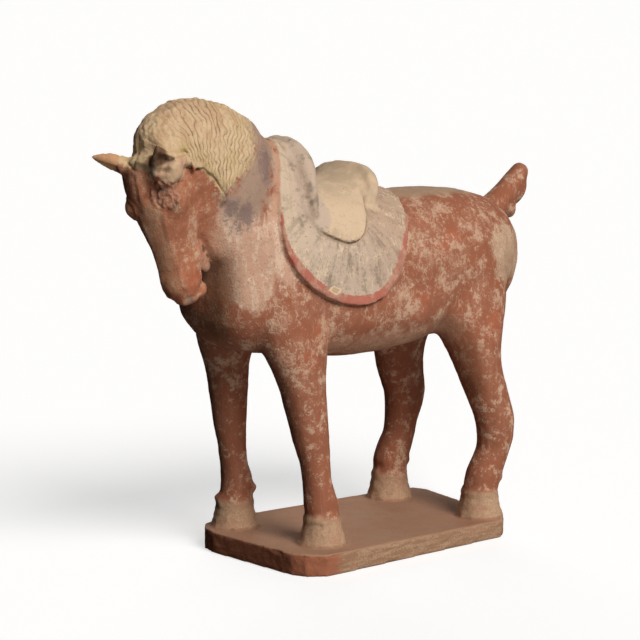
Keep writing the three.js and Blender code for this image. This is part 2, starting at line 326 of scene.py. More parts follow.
def earScoopShade(points, normals):  # 1 inside the near ear's scoop, where painted shade goes
    t, far = earAlong(points, nearEar["foot"], nearEar["tip"])
    turn = math.radians(head["turn"])
    openX = -0.9 * math.cos(turn) + 0.42 * math.sin(turn)
    openY = -0.9 * math.sin(turn) - 0.42 * math.cos(turn)
    facing = normals @ (openX, openY, 0)
    return fade(facing, -0.2, 0.35) * fade(t, 0.5, 0.62) * (1 - fade(far, 9.5, 12))


# The working mesh: the CAD solid's own shape, closed into one even skin and softened like wet clay


def workingMesh():
    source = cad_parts["pottery_horse"]
    horse = source.copy()
    horse.data = source.data.copy()
    for key in list(horse.keys()):
        del horse[key]
    for key in list(horse.data.keys()):
        del horse.data[key]
    horse.name = "horse"
    bpy.context.scene.collection.objects.link(horse)
    pickOnly(horse)
    horse.data.materials.clear()
    bpy.ops.object.mode_set(mode="EDIT")
    bpy.ops.mesh.select_all(action="SELECT")
    bpy.ops.mesh.remove_doubles(threshold=0.01 * mm)
    bpy.ops.object.mode_set(mode="OBJECT")
    pressPellets(horse)
    applyModifier(horse, "REMESH", mode="VOXEL", voxel_size=body["voxel"] * mm)
    print("working mesh", len(horse.data.vertices), "points")
    return horse


def softness(points):  # how much each place is smoothed, 0 to 1
    x, y, z = points.T
    height = z - body["ground"]
    share = mixed(0.14, 0.42, fade(height, 105, 150))
    joint = fade(height, 118, 150) * (1 - fade(height, 190, 225)) * (1 - fade(abs(x - 5), 150, 170))
    share = mixed(share, 0.95, joint)
    share = mixed(share, 0.1, 1 - fade(height, 26, 44))
    share = mixed(share, 0.16, 1 - fade(height, 7, 12))
    share = mixed(share, 0.02, 1 - fade(height, 0.5, 3))
    own = headOwn(points)
    nearHead = 1 - fade(distanceTo(own, [(8, 0, -108), (10, 0, -10)]), 34, 46)
    share = mixed(share, 0.09, nearHead)
    share = mixed(share, 0.8, 1 - fade(np.linalg.norm(own - (-3, -20, -29), axis=1), 11, 18))
    tail = fade(x, 150, 166) * fade(height, 235, 255)
    share = mixed(share, 0.1, tail)
    inBlanket, inCover, inMane = blanketDepth(points), coverDepth(points), maneDepth(points)
    share = mixed(share, 0.3, fade(inBlanket, -3, 0))
    crisp = 1 - fade(z, 285, 325)
    edge = np.minimum(abs(inBlanket) + 5 * (1 - crisp), abs(inCover))
    share = np.where(edge < 9, mixed(0.025, share, fade(edge, 1.5, 9)), share)
    share = np.where((abs(inMane) < 8) & (x < -182), mixed(0.02, share, fade(abs(inMane), 1, 8)), share)
    share = np.where((abs(inMane) < 14) & (x > -172), 0.9, share)
    share = mixed(share, 0.12, 1 - fade(distanceTo(points, pommelLine), 15, 19))
    share = mixed(share, 0.1, onCantle(points))
    for ear in (nearEar, farEar):
        share = mixed(share, 0.02, onEar(points, ear))
    return np.clip(share, 0.01, 1)


def soften(horse):
    share = softness(readPoints(horse))
    group = horse.vertex_groups.new(name="soft")
    steps = np.round(share * 60).astype(int)
    for step in np.unique(steps):
        group.add(np.flatnonzero(steps == step).tolist(), max(step, 1) / 60, "REPLACE")
    applyModifier(horse, "SMOOTH", factor=0.5, iterations=body["softRounds"], vertex_group="soft")
    print("softened")


def makeFiner(horse):  # the mane and the head are worked finer than the body
    points = readPoints(horse)
    own = headOwn(points)
    fine = maneDepth(points) > -3
    fine |= distanceTo(own, [(4, 0, -108), (4, 0, -4)]) < 36
    fine &= (points[:, 2] > 205) & (points[:, 0] < -118)
    pickOnly(horse)
    bpy.ops.object.mode_set(mode="EDIT")
    bpy.ops.mesh.select_mode(type="VERT")
    bpy.ops.mesh.select_all(action="DESELECT")
    bpy.ops.object.mode_set(mode="OBJECT")
    horse.data.vertices.foreach_set("select", fine)
    bpy.ops.object.mode_set(mode="EDIT")
    bpy.ops.mesh.select_mode(type="FACE")
    bpy.ops.mesh.subdivide(number_cuts=body["fineRounds"])
    bpy.ops.object.mode_set(mode="OBJECT")
    print("finer mesh", len(horse.data.vertices), "points")


# Sculpting: each function gives how far the clay stands out of the softened shape


mane = {"centre": (-183, 240), "radius": 120, "pitch": 4.4, "wave": 0.9, "waveLength": 9, "depth": 1.35}


def strandPlace(points):  # across the strands, counted in strands; they fan out from below the crest
    x, y, z = points.T
    cx, cz = mane["centre"]
    angle = np.arctan2(x - cx, z - cz)
    out = np.hypot(x - cx, z - cz) + 0.6 * abs(y)
    drift = 1.5 * unevenness(points, 30, 1) + 0.45 * unevenness(points, 10, 25)
    drift += 0.14 * unevenness(points, 4, 28)
    ripple = np.sin(2 * math.pi * out / mane["waveLength"] + 5 * unevenness(points, 20, 2))
    ripple *= 0.85 + 0.9 * unevenness(points, 16, 26)
    return (angle * mane["radius"] + mane["wave"] * ripple) / mane["pitch"] + drift


def strandStrength(points):
    x, y, z = points.T
    depth = maneDepth(points)
    strength = fade(depth, 0.5, 5) * mixed(0.3, 1, fade(x, -232, -200))
    strength *= fade(fromEdge(points, maneColourEdge), -14, 2) * mixed(1, 0.55, fade(x, -160, -140))
    strength *= 0.8 + 0.8 * unevenness(points, 15, 3)
    return np.clip(strength, 0, 1.3) * (1 - onEar(points, nearEar, 17)) * (1 - onEar(points, farEar, 14))


def maneRelief(points):
    ridge = abs(np.sin(math.pi * strandPlace(points))) ** 0.7
    strength = strandStrength(points)
    flecks = 0.8 * unevenness(points * (1, 1, 0.6), 3.6, 4)
    flecks += 0.55 * unevenness(points * (1, 1, 0.5), 2.1, 27)
    flecks *= fade(maneDepth(points), 0, 4) * fade(fromEdge(points, maneColourEdge), -10, 4)
    return strength * mane["depth"] * (ridge - 0.65) + flecks


blanket = {
    "centre": (-52, 319),
    "radius": 80,
    "rim": 8.5,  # the coloured edging's width below, and where it goes up to the saddle
    "rimAbove": 3.2,
    "pleat": 11,
    "coverRise": 3.4,  # how far the cover stands out where it is wider than the solid's
}


def pleatPlace(points):
    x, y, z = points.T
    cx, cz = blanket["centre"]
    angle = np.arctan2(x - cx, cz - z)
    return angle * blanket["radius"], np.hypot(x - cx, z - cz) + 0.5 * abs(y)


def saddleRelief(points):
    depth, cover = blanketDepth(points), coverDepth(points)
    above = 1 - fade(distanceTo(points, pommelLine), 15, 18)
    bare = (1 - above) * (1 - onCantle(points))
    z = points[:, 2]
    low = 1 - fade(z, 262, 300)
    onRim = fade(depth, -0.5, 1.5) * (1 - fade(depth, 6, 10))
    relief = -onRim * bare * mixed(1.6, 0.7, low)  # the edging is low, and fades out towards the withers
    relief -= 0.8 * np.exp(-(((depth + 1.3) / 1) ** 2)) * bare * (1 - fade(z, 280, 325))  # the tool's groove
    relief -= 0.4 * np.exp(-(((depth - blanket["rim"] - 0.8) / 1) ** 2)) * bare * low
    around = pleatPlace(points)[0]
    folds = np.sin(2 * math.pi * around / blanket["pleat"] + 1.5 * unevenness(points, 24, 5))
    field = fade(depth, 10, 15) * (1 - fade(cover, -5, -2)) * bare
    relief += 0.45 * folds * field * (0.6 + 0.6 * unevenness(points, 30, 6))
    wider = (1 - fade(z, 302, 314)) * fade(cover, -0.4, 0.4)
    wider *= 1 - fade(fromEdge(points, coverEdge), -2.5, 2.5)
    relief += blanket["coverRise"] * wider * bare
    relief -= 1.1 * np.exp(-(((cover - 0.4) / 1.5) ** 2)) * bare  # the cover's worn lip
    relief -= 0.25 * np.exp(-(((cover + 1) / 0.9) ** 2)) * bare
    relief += above * (0.9 * unevenness(points, 15, 7) + 0.35 * unevenness(points, 6, 8))
    return relief


face = {
    "nearEye": (-11, -17, -18.5),
    "nearEyeHalf": (13, 12, 11),  # half sizes
    "farEye": (-6, 24, -29),
    "farEyeHalf": (13, 9.5, 9),
    "mouth": [(-1, 12, -96), (8, 12, -93), (17, 12, -88), (22, 12, -84)],
    "noseEdge": [(-12, 12, -34), (-11, 10, -56), (-10, 10, -78), (-10, 11, -92)],
    "ridge": [(-14, -1, -30), (-14, 1, -60), (-12, 0, -92)],  # the orange band down the face
    "ridgeReach": 16,
}


def faceRelief(points):
    own = headOwn(points)
    x, y, z = own.T
    relief = np.zeros(len(points))
    # The far eye keeps its ball and lids, the near one has flaked away to a pitted patch.
    for name, worn in (("nearEye", 1), ("farEye", 0)):
        off = (own - face[name]) / face[name + "Half"]
        far = np.linalg.norm(off, axis=1)
        lid = np.exp(-(((far - 1) / 0.16) ** 2))
        ball = np.clip(1 - far, 0, 1)
        relief += mixed(0.6, 0.5, worn) * lid + mixed(0.9, 0.1, worn) * ball
        relief -= mixed(0.3, 0.2, worn) * np.exp(-(((far - 1.3) / 0.15) ** 2))
        if worn:
            pits = unevenness(points, 3.6, 9) + 0.8 * unevenness(points, 2, 10)
            relief += (1 - fade(far, 0.95, 1.25)) * (1.25 * pits + 0.1)
    # A mouth slit on each side, with the lips above and below it
    slit = distanceTo(own * (1, 0, 1) + (0, 12, 0), face["mouth"])
    relief -= 0.7 * np.exp(-((slit / 1.2) ** 2)) * fade(abs(y), 5, 9) * fade(x, 2, 12)
    # The far brow's soft edge down the face
    relief -= 0.8 * np.exp(-((distanceTo(points, lines["brow"]) / 3) ** 2))
    # The edges of the nose's flat front
    for side in (-1, 1):
        edge = distanceTo(own, np.multiply(face["noseEdge"], (1, side, 1)))
        relief += 0.9 * np.exp(-((edge / 3) ** 2))
        flare = np.linalg.norm(own - (-4, side * 9, -112), axis=1)
        relief -= 2.4 * np.exp(-((flare / 3.6) ** 2))
        relief += 0.5 * np.exp(-(((flare - 6.5) / 1.8) ** 2))
    return relief * (1 - fade(distanceTo(own, [(6, 0, -104), (8, 0, -16)]), 38, 44))


lines = {
    "maneCrack": [
        (-214, -44, 348), (-204, -45, 346), (-199, -48, 345), (-190, -47, 338), (-183, -47, 330),
        (-176, -47, 321), (-177, -44, 317), (-179, -44, 313),
    ],
    "brow": [
        (-251, -23, 341), (-249, -22, 333), (-247, -21, 324), (-245, -20, 317), (-243, -20, 310),
        (-241, -19, 304),
    ],
    "earLobe": [  # the seam under the near ear's roll
        (-250, -10, 355), (-251, -15, 351), (-251, -22, 347), (-250, -28, 345), (-246, -34, 340),
        (-242, -46, 337), (-232, -47, 336), (-219, -47, 338),
    ],
    "cantleCrack": [(-25, -40, 311), (-23, -42, 306), (-21, -43, 302), (-19, -44, 299)],
}


def cracks(points):
    depth = np.zeros(len(points))
    for name, reach, deep in (("maneCrack", 1.6, 2.6), ("earLobe", 1.5, 1.4), ("cantleCrack", 1.3, 2)):
        wander = points + 0.8 * np.stack([unevenness(points, 5, k) for k in (12, 13, 14)], axis=1)
        depth = np.maximum(depth, deep * np.exp(-((distanceTo(wander, lines[name]) / reach) ** 2)))
    return depth


slab = {"front": -127, "back": 139, "frontTop": 19, "backTop": 15.5, "chip": 2.2}
slabCorner = {"at": (-106, -74), "reach": 30}  # the bare corner nearest the viewer


def slabTop(points):
    t = (points[:, 0] - slab["front"]) / (slab["back"] - slab["front"])
    return mixed(slab["frontTop"], slab["backTop"], t)


def slabRelief(points, normals):
    x, y, z = points.T
    top = slabTop(points)
    low = 1 - fade(z - top, 0.5, 3)
    side = low * (1 - fade(abs(normals[:, 2]), 0.5, 0.85)) * fade(z, 0.3, 2)
    rough = 0.45 * unevenness(points * (0.35, 0.35, 1), 3, 15) + 0.3 * unevenness(points, 2.4, 16)
    near = fade(-y, 20, 60)
    relief = side * rough * mixed(0.6, 1.2, near)
    rim = np.exp(-(((top - z) / 2.4) ** 2)) * side
    chipped = fade(unevenness(points, 7, 17) + 0.4 * unevenness(points, 3, 18), 0.25, 0.8)
    relief -= rim * slab["chip"] * chipped
    relief += low * (1 - side) * fade(normals[:, 2], 0.7, 0.95) * 0.35 * unevenness(points, 30, 19)
    return relief


hooves = {"top": 23, "lip": 1.5, "spur": 34}


def bodyRelief(points, normals):
    x, y, z = points.T
    height = z - slabTop(points)
    skin = fade(height, 0, 6)
    relief = skin * (0.65 * unevenness(points, 34, 20) + 0.3 * unevenness(points, 13, 21))
    relief += skin * (0.17 * unevenness(points, 5, 22) + 0.1 * unevenness(points, 2.6, 29))
    # Softening thins the legs, so they get that back
    relief += 0.45 * fade(height, 25, 50) * (1 - fade(height, 120, 150))
    hoof = (1 - fade(height, 26, 32)) * fade(height, 0.5, 3)
    relief += hoof * 0.45 * unevenness(points, 3, 23)
    ragged = height + 3.2 * unevenness(points, 12, 30)
    worn = 0.7 + 0.7 * unevenness(points, 9, 31)
    relief += hooves["lip"] * worn * np.exp(-(((ragged - hooves["top"]) / 3.2) ** 2))
    relief -= 0.8 * worn * np.exp(-(((ragged - hooves["top"] - 7) / 3.5) ** 2))
    relief += 2.2 * np.exp(-(((height - hooves["spur"]) / 4) ** 2)) * fade(normals[:, 0], 0.3, 0.85)
    tail = fade(x, 172, 178) * (1 - fade(z, 288, 298)) * fade(z, 262, 270)
    relief += tail * (1.1 * unevenness(points, 7, 24))
    pit = np.linalg.norm(points - (-12, -53, 201), axis=1)
    relief += 0.6 * np.exp(-(((pit - 3.5) / 1.2) ** 2)) - 1.0 * np.exp(-((pit / 2.4) ** 2))
    return relief


def sculpt(horse):
    writePoints(horse, fillBelly(liftRoll(readPoints(horse))))
    points, normals = readPoints(horse), readNormals(horse)
    outward = bodyRelief(points, normals) + maneRelief(points) + saddleRelief(points) + faceRelief(points)
    outward += slabRelief(points, normals) - cracks(points)
    moved = points + normals * outward[:, None]
    t, far = earAlong(points, nearEar["foot"], nearEar["tip"])
    moved += (fade(t, 0.25, 1) * (1 - fade(far, 12, 15)))[:, None] * nearEar["drawnOut"]
    flat = points[:, 2] < 0.8
    moved[flat, 2] = points[flat, 2]
    low, high = np.array(cadLow) / mm, np.array(cadHigh) / mm
    writePoints(horse, np.clip(moved, low - 1, high + 1))
    print("sculpted")


def thin(horse):
    horse.data.calc_loop_triangles()
    count = len(horse.data.loop_triangles)
    horse.vertex_groups.clear()
    applyModifier(horse, "DECIMATE", ratio=min(1, body["triangles"] / count))
    pickOnly(horse)
    bpy.ops.object.shade_smooth()
    points = readPoints(horse)
    points[:, 2] = np.maximum(points[:, 2], 0)
    writePoints(horse, points)
    print("thinned from", count, "to", len(horse.data.polygons), "faces")


# Where the paint, the painted shade and the darker places are: each is kept on the mesh as its own value


def keep(horse, name, values):
    attribute = horse.data.attributes.new(name, "FLOAT", "POINT")
    attribute.data.foreach_set("value", np.asarray(values, dtype=np.float32))


# Spots of colour, each a place and a radius
paint = {
    "pale": [
        (-178, -42, 295, 20), (-165, -43, 281, 24), (-151, -44, 266, 26), (-170, -36, 267, 22),
        (-159, -41, 252, 22), (-140, -46, 242, 24), (-123, -54, 217, 18), (-141, -47, 272, 22),
        (-130, -47, 275, 16), (-145, -45, 262, 20), (-70, -49, 202, 14), (-12, -48, 196, 24),
        (-15, -36, 182, 18), (-110, -58, 195, 14), (-9, -48, 195, 18), (48, -36, 300, 15),
        (46, -44, 292, 14), (31, -49, 284, 16), (45, -53, 279, 16), (21, -53, 277, 14),
        (8, -58, 235, 12), (0, -58, 224, 15), (91, -47, 289, 12), (88, -53, 281, 12),
        (76, -52, 281, 13), (75, -59, 262, 12), (67, -60, 250, 12), (95, -58, 227, 16),
        (93, -59, 236, 14), (62, -60, 251, 10), (34, -59, 255, 12), (51, -59, 255, 12),
        (56, -60, 240, 12), (8, -56, 213, 12), (-106, -57, 156, 8), (-99, -57, 121, 7),
        (110, -62, 214, 14), (73, -58, 190, 10), (-100, 55, 250, 24), (20, 60, 270, 30),
        (90, 60, 240, 26),
    ],
    "ochre": [
        (122, -54, 260, 18), (134, -48, 264, 20), (142, -44, 248, 22), (137, -48, 234, 16),
        (125, -55, 243, 15), (152, -26, 244, 26), (150, -26, 260, 22),
    ],
    "neckPale": [
        (-161, -45, 290, 34), (-141, -47, 270, 34), (-171, -37, 268, 32), (-150, -45, 250, 32),
        (-125, -50, 290, 28), (-118, -52, 262, 24), (-150, 42, 275, 44), (-128, 46, 300, 30),
    ],
    # the belly's pale paint, laid on partly as painted light from below
    "belly": [
        (-30, -45, 175, 30), (0, -45, 175, 30), (30, -45, 177, 30), (58, -52, 186, 22),
        (-60, -45, 178, 26),
    ],
    "violetDark": [
        (-156, -44, 306, 14), (-169, -44, 313, 12), (-128, -36, 350, 14), (-130, -37, 338, 14),
        (-160, -45, 297, 10), (-150, 40, 310, 14), (-130, 36, 344, 16),
    ],
    "peach": [
        (-110, -46, 330, 22), (-116, -48, 312, 22), (-122, -48, 294, 22), (-108, -38, 350, 20),
        (-132, -47, 284, 18), (-102, -20, 368, 18), (-110, 45, 320, 30), (-104, 25, 362, 20),
    ],
    "coral": [
        (-97, -55, 255, 14), (-88, -58, 247, 10), (-116, -50, 310, 9), (-118, -50, 300, 9),
        (-108, -50, 272, 10), (2, -58, 272, 12), (-52, -60, 227, 22), (-28, -60, 230, 14),
        (-114, -52, 264, 8), (-118, -53, 233, 6),
    ],
    "rust": [
        (34, -50, 292, 14), (62, -52, 270, 14), (50, -58, 262, 12), (110, -60, 190, 22),
        (20, -56, 215, 18), (-85, -58, 205, 16), (-233, -48, 330, 6), (-100, -58, 180, 14),
        (-210, -36, 250, 30),
    ],
}
paintedShade = {  # painted shade under the jaw and along the near hind leg's front, laid on as darker clay: a line and its reach
    "breastShade": ([(-172, -30, 262), (-170, -28, 240), (-171, -21, 222), (-166, -14, 205)], 22),
    "hockShade": ([(60, -54, 196), (72, -57, 186), (79, -60, 172), (84, -61, 155), (88, -59, 134)], 15),
}
onHead = {  # patches in the head's own frame: middle and half sizes
    "earGrey": ((-18, -13, 3), (9, 10, 9)),
    "nostril": ((-5, -9, -112), (7, 7, 7)),
    "cuff": ((-2, -25, -1), (21, 15, 15)),
    "wornEye": (face["nearEye"], (15, 15, 14)),
}
lozenge = {"at": (-74, 238), "halfLength": 7.5, "halfHeight": 4.5}  # a patch of yellow left on the edging


def keepMane(horse, points):
    flat = points[:, [0, 2]]
    toViolet = distanceTo(flat, violetOutline + violetOutline[:1])
    keep(horse, "strandAcross", strandPlace(points))
    keep(horse, "strandStrength", strandStrength(points))
    keep(horse, "maneColour", np.minimum(maneDepth(points), fromEdge(points, maneColourEdge)))
    keep(horse, "maneRear", fade(points[:, 0], -188, -172))
    keep(horse, "violet", np.where(insideOf(flat, np.array(violetOutline)), toViolet, -toViolet))


def keepSaddle(horse, points):
    x, y, z = points.T
    depth = blanketDepth(points)
    wide = mixed(blanket["rim"], blanket["rimAbove"], fade(z, 255, 290))
    edging = (1 - fade(depth, wide - 1, wide + 0.8)) * fade(depth, -0.6, 0.6)
    edging *= mixed(1 - fade(z, 292, 325), 1 - fade(z, 285, 300), fade(x, -30, 0))
    keep(horse, "blanketDepth", depth)
    keep(horse, "edging", edging)
    around, out = pleatPlace(points)
    keep(horse, "pleatAround", around)
    keep(horse, "pleatOut", out)
    keep(horse, "coverDepth", coverDepth(points))
    keep(horse, "pommel", 1 - fade(distanceTo(points, pommelLine), 14, 18))
    seat = fade(x, -90, -86) * (1 - fade(x, -13, -9)) * fade(z, 306, 316)
    keep(horse, "seat", np.maximum(seat, onCantle(points)))
    atX, atZ = lozenge["at"]
    slanting = abs(x - atX + 0.5 * (z - atZ)) / lozenge["halfLength"]
    nearSide = y < 0
    keep(horse, "lozenge", np.where(nearSide, slanting + abs(z - atZ) / lozenge["halfHeight"], 9))


def keepHead(horse, points, normals):
    own = headOwn(points)
    for name, (middle, half) in onHead.items():
        keep(horse, name, 1 - np.linalg.norm((own - middle) / half, axis=1))
    keep(horse, "face", 1 - fade(distanceTo(own, [(4, 0, -108), (8, 0, -20)]), 34, 44))
    keep(horse, "faceBand", 1 - distanceTo(own, face["ridge"]) / face["ridgeReach"])
    keep(horse, "earScoopShade", earScoopShade(points, normals))
    keep(horse, "farEar", onEar(points, farEar, 12, 0.1))


def keepBody(horse, points):
    x, y, z = points.T
    for name, spots in paint.items():
        keep(horse, name, spotted(points, spots))
    # the lines of painted shade, each with its reach
    for name, (line, reach) in paintedShade.items():
        keep(horse, name, 1 - distanceTo(points, line) / reach)
    along = fade(x, 12, 22) * (1 - fade(x, 118, 140))
    keep(horse, "backStrip", fade(z, 300, 312) * along * (1 - fade(abs(y - body["middleY"]), 28, 36)))
    keep(horse, "slabHeight", z - slabTop(points))
    keep(horse, "sandy", fade(-y, 10, 60) * fade(x, -112, -78))
    cornerX, cornerY = slabCorner["at"]
    keep(horse, "corner", 1 - np.hypot(x - cornerX, y - cornerY) / slabCorner["reach"])
    keep(horse, "crack", np.clip(cracks(points) / 2, 0, 1))


def keepHollows(horse, points, normals):  # how far each point lies below its neighbours, evened out
    edges = np.empty(len(horse.data.edges) * 2, dtype=np.int32)
    horse.data.edges.foreach_get("vertices", edges)
    a, b = edges.reshape(-1, 2).T
    count = len(points)

    def aroundSum(values):
        return np.bincount(a, values[b], count) + np.bincount(b, values[a], count)

    neighbours = np.bincount(a, minlength=count) + np.bincount(b, minlength=count)
    mean = np.stack([aroundSum(points[:, k]) for k in range(3)], axis=1) / neighbours[:, None]
    rise = ((mean - points) * normals).sum(axis=1)
    for _ in range(3):
        rise = 0.5 * rise + 0.5 * aroundSum(rise) / neighbours
    keep(horse, "hollow", np.clip(rise / 0.25, -1, 1))


def keepPaint(horse):
    points, normals = readPoints(horse), readNormals(horse)
    keepMane(horse, points)
    keepSaddle(horse, points)
    keepHead(horse, points, normals)
    keepBody(horse, points)
    keepHollows(horse, points, normals)
    print("paint laid out")


# Small tools for materials. A source is a node's output or a number, and the tree is found from the outputs.


def startMaterial(name):
    material = bpy.data.materials.new(name)
    material.use_nodes = True
    return material, material.node_tree


def treeOf(*sources):
    return next(source.id_data for source in sources if hasattr(source, "is_linked"))


def feed(socket, source):
    if hasattr(source, "is_linked"):
        treeOf(source).links.new(source, socket)
    else:
        socket.default_value = source


def reckon(kind, a, b=0.0, c=0.0):
    node = treeOf(a, b, c).nodes.new("ShaderNodeMath")
    node.operation = kind
    for socket, source in zip(node.inputs, (a, b, c)):
        feed(socket, source)
    return node.outputs[0]


def times(first, *others):
    for other in others:
        first = reckon("MULTIPLY", first, other)
    return first


def plus(a, b):
    return reckon("ADD", a, b)


def without(share):
    return reckon("SUBTRACT", 1.0, share)


def noisy(field, *breaks):  # a field whose edge is broken by noise; a break is a noise and its amount
    for noise, amount in breaks:
        field = plus(field, times(plus(noise, -0.5), amount))
    return field


def ease(source, low, high):  # 0 at low, 1 at high
    node = treeOf(source).nodes.new("ShaderNodeMapRange")
    node.interpolation_type = "SMOOTHSTEP"
    feed(node.inputs["Value"], source)
    node.inputs["From Min"].default_value = low
    node.inputs["From Max"].default_value = high
    return node.outputs["Result"]


def value(tree, name):
    node = tree.nodes.new("ShaderNodeAttribute")
    node.attribute_name = name
    return node.outputs["Fac"]


def grain(tree, size, detail=3, roughness=0.55, scale=(1, 1, 1), turn=(0, 0, 0)):
    # Noise with lumps about `size` millimetres across, drawn out along an axis where its scale is under 1
    mapping = tree.nodes.new("ShaderNodeMapping")
    feed(mapping.inputs["Vector"], tree.nodes.new("ShaderNodeTexCoord").outputs["Object"])
    mapping.inputs["Scale"].default_value = scale
    mapping.inputs["Rotation"].default_value = [math.radians(d) for d in turn]
    node = tree.nodes.new("ShaderNodeTexNoise")
    node.inputs["Scale"].default_value = 1 / (size * mm)
    node.inputs["Detail"].default_value = detail
    node.inputs["Roughness"].default_value = roughness
    feed(node.inputs["Vector"], mapping.outputs["Vector"])
    return node.outputs["Fac"]


def threads(tree, size, turn):  # short curved strokes, along the middle height of a noise
    lumps = grain(tree, size, 2, 0.5, scale=(1, 1, 0.45), turn=turn)
    return without(ease(reckon("ABSOLUTE", plus(lumps, -0.5)), 0.008, 0.034))


def patchy(tree):  # lets threads stand in some places only
    return ease(grain(tree, 11, 2), 0.5, 0.6)


def layer(below, above, share):  # a name stands for one of the clay's colours
    tree = treeOf(below, above, share)
    node = tree.nodes.new("ShaderNodeMix")
    node.data_type = "RGBA"
    feed(node.inputs[0], share)
    for socket, source in ((node.inputs[6], below), (node.inputs[7], above)):
        feed(socket, (*clayColours[source], 1) if isinstance(source, str) else source)
    return node.outputs[2]


# The fired clay's material


clayColours = {
    "terracotta": (0.34, 0.12, 0.064),
    "deep": (0.30, 0.105, 0.055),
    "pink": (0.38, 0.15, 0.088),
    "slip": (0.57, 0.335, 0.22),
    "haze": (0.39, 0.168, 0.103),
    "neckPale": (0.63, 0.39, 0.275),
    "scuff": (0.76, 0.58, 0.44),
    "peach": (0.60, 0.35, 0.23),
    "ochre": (0.55, 0.36, 0.235),
    "rust": (0.45, 0.13, 0.065),
    "taupe": (0.40, 0.27, 0.175),
    "cream": (0.66, 0.47, 0.285),
    "creamPale": (0.74, 0.57, 0.39),
    "straw": (0.55, 0.39, 0.19),
    "olive": (0.27, 0.19, 0.095),
    "violet": (0.24, 0.155, 0.135),
    "violetPale": (0.41, 0.295, 0.215),
    "felt": (0.58, 0.435, 0.33),
    "feltDark": (0.27, 0.215, 0.155),
    "feltRear": (0.47, 0.29, 0.19),
    "clayRose": (0.45, 0.195, 0.13),
    "coral": (0.47, 0.145, 0.1),
    "coralPale": (0.53, 0.28, 0.2),
    "cover": (0.70, 0.51, 0.34),
    "coverDull": (0.57, 0.425, 0.285),
    "sand": (0.44, 0.28, 0.175),
    "slabTop": (0.36, 0.205, 0.125),
    "slabSide": (0.32, 0.175, 0.1),
    # the slab's front face, darkened as painted shade
    "slabFrontShade": (0.25, 0.085, 0.042),
    "hoof": (0.54, 0.36, 0.225),
    "faceClay": (0.46, 0.185, 0.1),
    "faceRidge": (0.64, 0.29, 0.16),
    # colours for painted shade under the jaw and along the near hind leg
    "jawShadeBrown": (0.13, 0.055, 0.024),
    "hockShadeBrown": (0.17, 0.06, 0.027),
    "earGrey": (0.33, 0.27, 0.19),
    # painted shade inside the near ear's scoop
    "earScoopShade": (0.11, 0.05, 0.028),
    "earOrange": (0.62, 0.33, 0.17),
    "darkBrown": (0.085, 0.04, 0.022),
}
wear = {  # how strongly each layer shows, 0 to 1
    "slip": 0.37,
    "haze": 0.55,
    "veil": 0.5,
    "threads": 0.85,
    "grains": 0.38,
    "scratches": 0.26,
    "neck": 0.8,
    "ochre": 0.85,
    "belly": 0.5,
    # painted shade under the jaw and along the near hind leg's front
    "breastShade": 0.75,
    "hockShade": 0.7,
    "grooves": 0.8,
    "violet": 0.85,
    "feltStrokes": 0.8,
    "coral": 0.85,
    "hoofSand": 0.85,
    "hollowDarkening": 0.45,
    "roughness": 0.93,
    "gloss": 0.18,
    "bump": 0.7,
    "bumpHeight": 0.8,
}


def clayGrains(tree):  # from broad blotches to fine grain, and streaks slanting two ways
    return {
        "broad": grain(tree, 60, 3),
        "medium": grain(tree, 16, 4, 0.6),
        "small": grain(tree, 5, 4, 0.65),
        "fine": grain(tree, 1.6, 3, 0.6),
        "streaksA": grain(tree, 7, 3, 0.6, scale=(1, 1, 0.16), turn=(12, 18, 0)),
        "streaksB": grain(tree, 6, 3, 0.6, scale=(1, 1, 0.14), turn=(-20, -32, 10)),
    }


def bareClay(tree, grains):
    medium, small = grains["medium"], grains["small"]
    colour = layer("terracotta", "deep", ease(grains["broad"], 0.42, 0.66))
    colour = layer(colour, "pink", times(ease(medium, 0.48, 0.68), 0.6))
    colour = layer(colour, "rust", times(ease(noisy(value(tree, "rust"), (medium, 1.2)), 0.05, 0.5), 0.6))
    colour = layer(colour, "deep", times(ease(small, 0.55, 0.75), 0.5))
    # The legs are darker, with upright streaks
    legs = without(ease(value(tree, "slabHeight"), 140, 190))
    upright = ease(grain(tree, 5, 3, 0.6, scale=(1, 1, 0.1)), 0.5, 0.66)
    colour = layer(colour, "deep", times(legs, 0.3))
    return layer(colour, "haze", times(upright, legs, 0.42))


def neckPaint(tree, grains, colour):
    medium, small, fine = grains["medium"], grains["small"], grains["fine"]
    peach = noisy(value(tree, "peach"), (medium, 1.2), (small, 0.9))
    colour = layer(colour, "peach", times(ease(peach, 0.05, 0.5), 0.85))
    neck = noisy(value(tree, "neckPale"), (medium, 0.9), (small, 0.5))
    onNeck = ease(neck, 0, 0.4)
    colour = layer(colour, "neckPale", times(ease(neck, 0, 0.55), wear["neck"]))
    strokes = plus(threads(tree, 15, (10, 55, 0)), threads(tree, 11, (-30, -25, 40)))
    scuffed = times(strokes, ease(small, 0.44, 0.56), onNeck)
    colour = layer(colour, "scuff", times(reckon("MINIMUM", scuffed, 1.0), 0.75))
    showing = times(ease(noisy(medium, (small, 1.2)), 0.56, 0.7), onNeck)
    colour = layer(colour, "terracotta", times(showing, 0.45))
    rubbed = ease(noisy(medium, (fine, 0.7), (grains["streaksB"], 1.4)), 0.53, 0.64)
    return layer(colour, "scuff", times(rubbed, ease(neck, 0.1, 0.5), 0.6))


